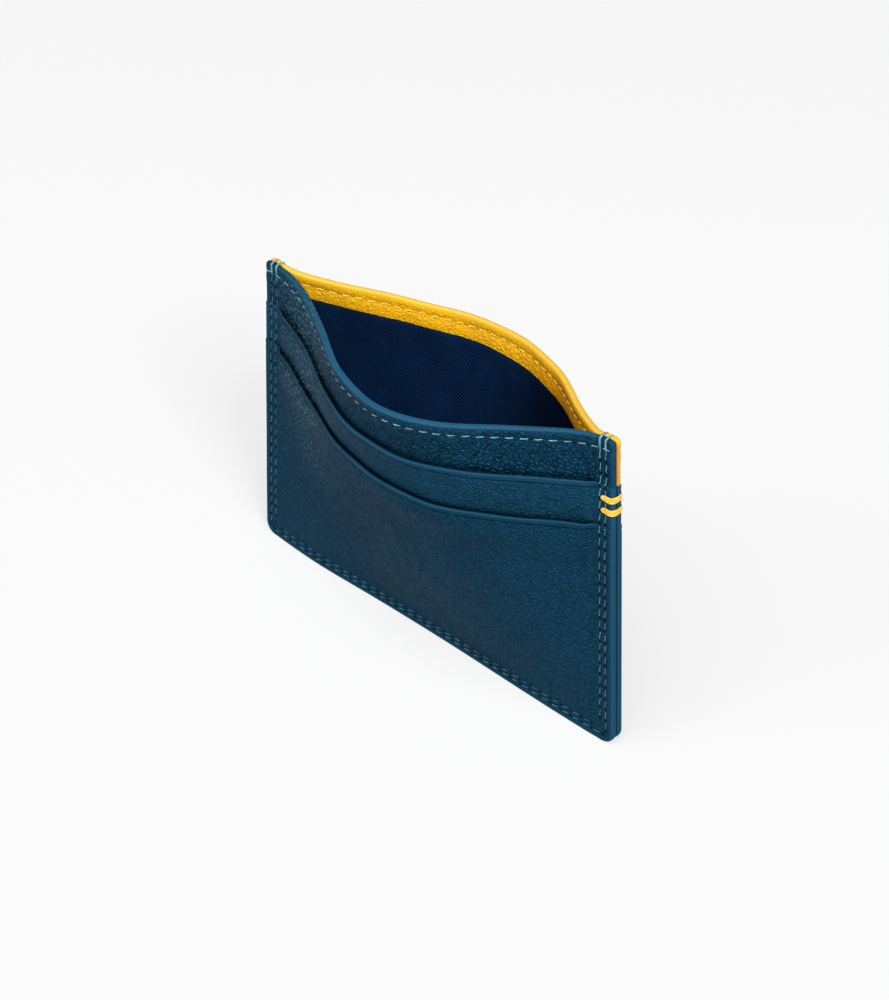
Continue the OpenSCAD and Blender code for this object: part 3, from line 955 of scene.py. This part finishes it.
def twill(name, base, valley):
    """Cloth with slanting ribs, each crossed by finer threads."""
    ribs_per_mm, threads_per_mm = 1.75, 3.1
    n = Nodes(name)
    uv = n.shifted(n.flat(), 0.12, 0.5)
    parts = n.add("ShaderNodeSeparateXYZ")
    n.put(parts.inputs[0], uv)
    s, v = parts.outputs["X"], parts.outputs["Y"]
    slope = n.math("ADD", n.math("MULTIPLY", s, 0.42), n.math("MULTIPLY", v, -0.91))
    rib = n.math("ABSOLUTE", n.math("SINE", n.math("MULTIPLY", slope, math.pi * ribs_per_mm)))
    cross = n.math("ADD", n.math("MULTIPLY", s, 0.95), n.math("MULTIPLY", v, 0.3))
    weft = n.math("ABSOLUTE", n.math("SINE", n.math("MULTIPLY", cross, math.pi * threads_per_mm)))
    fibre = n.noise(n.flat((6.0, 2.0, 1.0)), 3.0, 3.0)
    height = n.math("ADD", n.math("MULTIPLY", rib, 0.75), n.math("MULTIPLY", weft, 0.18))
    height = n.math("ADD", height, n.math("MULTIPLY", fibre, 0.16))
    shade = n.smooth(height, 0.33, 1.0)
    wear_and_sheen = n.smooth(n.noise(uv, 0.15, 3.0), 0.3, 0.75, 0.75, 1.1)
    colour = n.mix(n.math("MULTIPLY", shade, wear_and_sheen, clamp=True), valley, base)
    # Painted shade where the dark value is set.
    colour = n.mix(n.layer("dark"), colour, valley)
    n.set(Base_Color=colour, Roughness=0.85, Specular_IOR_Level=0.02, Normal=n.bump(height, 0.12))
    return n.material


def thread_finish(name, base, dark, roughness=0.5):
    """Twisted thread: fine fibres and uneven dye, and painted shade as far as its sunk value goes."""
    fibres_per_m, dye_patches_per_m = 9000.0, 700.0
    n = Nodes(name)
    at = n.add("ShaderNodeTexCoord").outputs["Object"]
    fibre = n.noise(at, fibres_per_m, 2.0)
    dye = n.noise(at, dye_patches_per_m, 2.0)
    colour = n.mix(n.smooth(dye, 0.35, 0.65), base, dark)
    # Painted shade: darker as far as the sunk value goes.
    colour = n.mix(n.math("MULTIPLY", n.layer("sunk"), 0.9, clamp=True), colour,
                   (0.05 * dark[0], 0.16 * dark[1], 0.18 * dark[2]))
    n.set(Base_Color=colour, Roughness=n.smooth(fibre, 0.3, 0.7, roughness - 0.08, roughness + 0.12),
          Specular_IOR_Level=0.3, Sheen_Weight=0.1, Sheen_Roughness=0.4, Normal=n.bump(fibre, 0.03))
    return n.material


def floor_finish(glow, albedo):
    """A pale matt floor that also glows a little."""
    n = Nodes("studio_floor")
    speck_and_glint = n.noise(n.add("ShaderNodeTexCoord").outputs["Object"], 40.0, 2.0)
    n.set(Base_Color=n.mix(speck_and_glint, (albedo, albedo, albedo), (albedo * 0.995,) * 3), Roughness=0.9,
          Specular_IOR_Level=0.1, Emission_Color=(1.0, 1.0, 1.0), Emission_Strength=glow)
    return n.material


BLUE = leather("blue_leather", (0.0036, 0.033, 0.065), (0.0003, 0.004, 0.010), (0.034, 0.142, 0.255),
               shine=0.013, depth=0.6)
YELLOW = leather("yellow_leather", (0.70, 0.372, 0.005), (0.50, 0.20, 0.002), (0.60, 0.37, 0.055),
                 shine=0.2, depth=0.24, roughness=0.4, hole=0.4)
TWILL = twill("navy_twill", (0.0028, 0.0168, 0.054), (0.0002, 0.002, 0.008))
SLOT_TWILL = twill("slot_twill", (0.003, 0.018, 0.055), (0.0002, 0.002, 0.008))
PALE_THREAD = thread_finish("pale_blue_thread", (0.14, 0.31, 0.35), (0.07, 0.19, 0.23))
GOLD_THREAD = thread_finish("gold_thread", (0.84, 0.50, 0.07), (0.66, 0.33, 0.02),
                            roughness=0.34)
STRAW_THREAD = thread_finish("straw_thread", (0.82, 0.56, 0.13), (0.70, 0.40, 0.04))


# ---------------------------------------------------------------- assembly
def place(piece, node, slot, finish):
    """Gives a piece its finish, puts it under the root body and hides the CAD part of the node that it
    stands for. slot is not used.
    """
    piece.data.materials.append(finish)
    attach(piece, "root")
    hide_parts(node)


for half_name, side in HALVES.items():
    for part, piece in build_strips(half_name, side).items():
        yellow = part == "panel" and side == BACK
        place(piece, f"{half_name}_{part}", "yellow_leather" if yellow else "blue_leather",
              YELLOW if yellow else BLUE)
    for part, piece in build_cloths(half_name, side).items():
        lined = part == "lining"
        place(piece, f"{half_name}_{part}", "navy_lining" if lined else "slot_cloth",
              TWILL if lined else SLOT_TWILL)
    thread = Thread()
    end = half_width(HEIGHT - RIM_ROW)
    rim_stitches(thread, side, panel_out, end - OUTSIDE_STOP, 1)
    rim_stitches(thread, side, panel_in, end - INSIDE_STOP, -1)
    place(thread.piece(f"{half_name}_rim_stitching"), f"{half_name}_rim_thread",
          "blue_thread" if side == FRONT else "yellow_thread",
          PALE_THREAD if side == FRONT else STRAW_THREAD)

for row_name, edge in (("outer", OUTER_ROW), ("inner", INNER_ROW)):
    thread = Thread()
    seam_stitches(thread, edge)
    place(thread.piece(f"{row_name}_seam_stitching"), f"seam_thread_{row_name}", "blue_thread", PALE_THREAD)
for end, end_name in ((-1, "left"), (1, "right")):
    thread = Thread()
    corner_wraps(thread, end)
    place(thread.piece(f"{end_name}_corner_stitches"), f"{end_name}_corner_wraps", "blue_thread",
          PALE_THREAD)
for band, drop in BAND_DROPS.items():
    thread = Thread()
    accent_band(thread, drop)
    place(thread.piece(f"{band}_band_strands"), f"{band}_accent_band", "yellow_thread", GOLD_THREAD)


# ---------------------------------------------------------------- floor, lights and camera
def area_light(name, location, size, power, target=(0, 0, 0.035)):
    """A square light, in metres and watts, turned to the target."""
    data = bpy.data.lights.new(name, "AREA")
    data.shape, data.size, data.energy = "SQUARE", size, power
    light = bpy.data.objects.new(name, data)
    light.location = location
    light.rotation_euler = (Vector(location) - Vector(target)).to_track_quat("Z", "Y").to_euler()
    bpy.context.scene.collection.objects.link(light)


FLOOR = 4.0
floor_mesh = bpy.data.meshes.new("studio_floor")
floor_mesh.from_pydata([(-FLOOR, -FLOOR, 0), (FLOOR, -FLOOR, 0), (FLOOR, FLOOR, 0), (-FLOOR, FLOOR, 0)],
                       [], [(0, 1, 2, 3)])
floor = bpy.data.objects.new("studio_floor", floor_mesh)
bpy.context.scene.collection.objects.link(floor)
floor_mesh.materials.append(floor_finish(glow=0.645, albedo=0.18))

world = bpy.data.worlds.new("studio")
world.use_nodes = True
world.node_tree.nodes["Background"].inputs["Color"].default_value = (1, 1, 1, 1)
world.node_tree.nodes["Background"].inputs["Strength"].default_value = 0.1
bpy.context.scene.world = world
area_light("key", (2.6, -1.25, 2.4), size=1.2, power=160)
area_light("top", (0.3, -1.3, 3.4), size=2.4, power=130)
area_light("fill", (-1.6, -2.4, 1.3), size=1.6, power=32)

AZIMUTH, ELEVATION = math.radians(44.12), math.radians(36.8)
DISTANCE, FOCAL, SENSOR = 0.4223, 77.1, 36.0
AIM = Vector((0.0031, 0, 0.0349))
backward = Vector((math.sin(AZIMUTH) * math.cos(ELEVATION), -math.cos(AZIMUTH) * math.cos(ELEVATION),
                   math.sin(ELEVATION)))
camera_data = bpy.data.cameras.new("camera")
camera_data.lens, camera_data.sensor_width, camera_data.sensor_fit = FOCAL, SENSOR, "AUTO"
camera_data.clip_start, camera_data.clip_end = 0.01, 20
camera = bpy.data.objects.new("camera", camera_data)
camera.location = AIM + backward * DISTANCE
camera.rotation_euler = (-backward).to_track_quat("-Z", "Y").to_euler()
bpy.context.scene.collection.objects.link(camera)
bpy.context.scene.camera = camera
bpy.context.scene.view_settings.view_transform = "Standard"

bpy.context.view_layer.update()
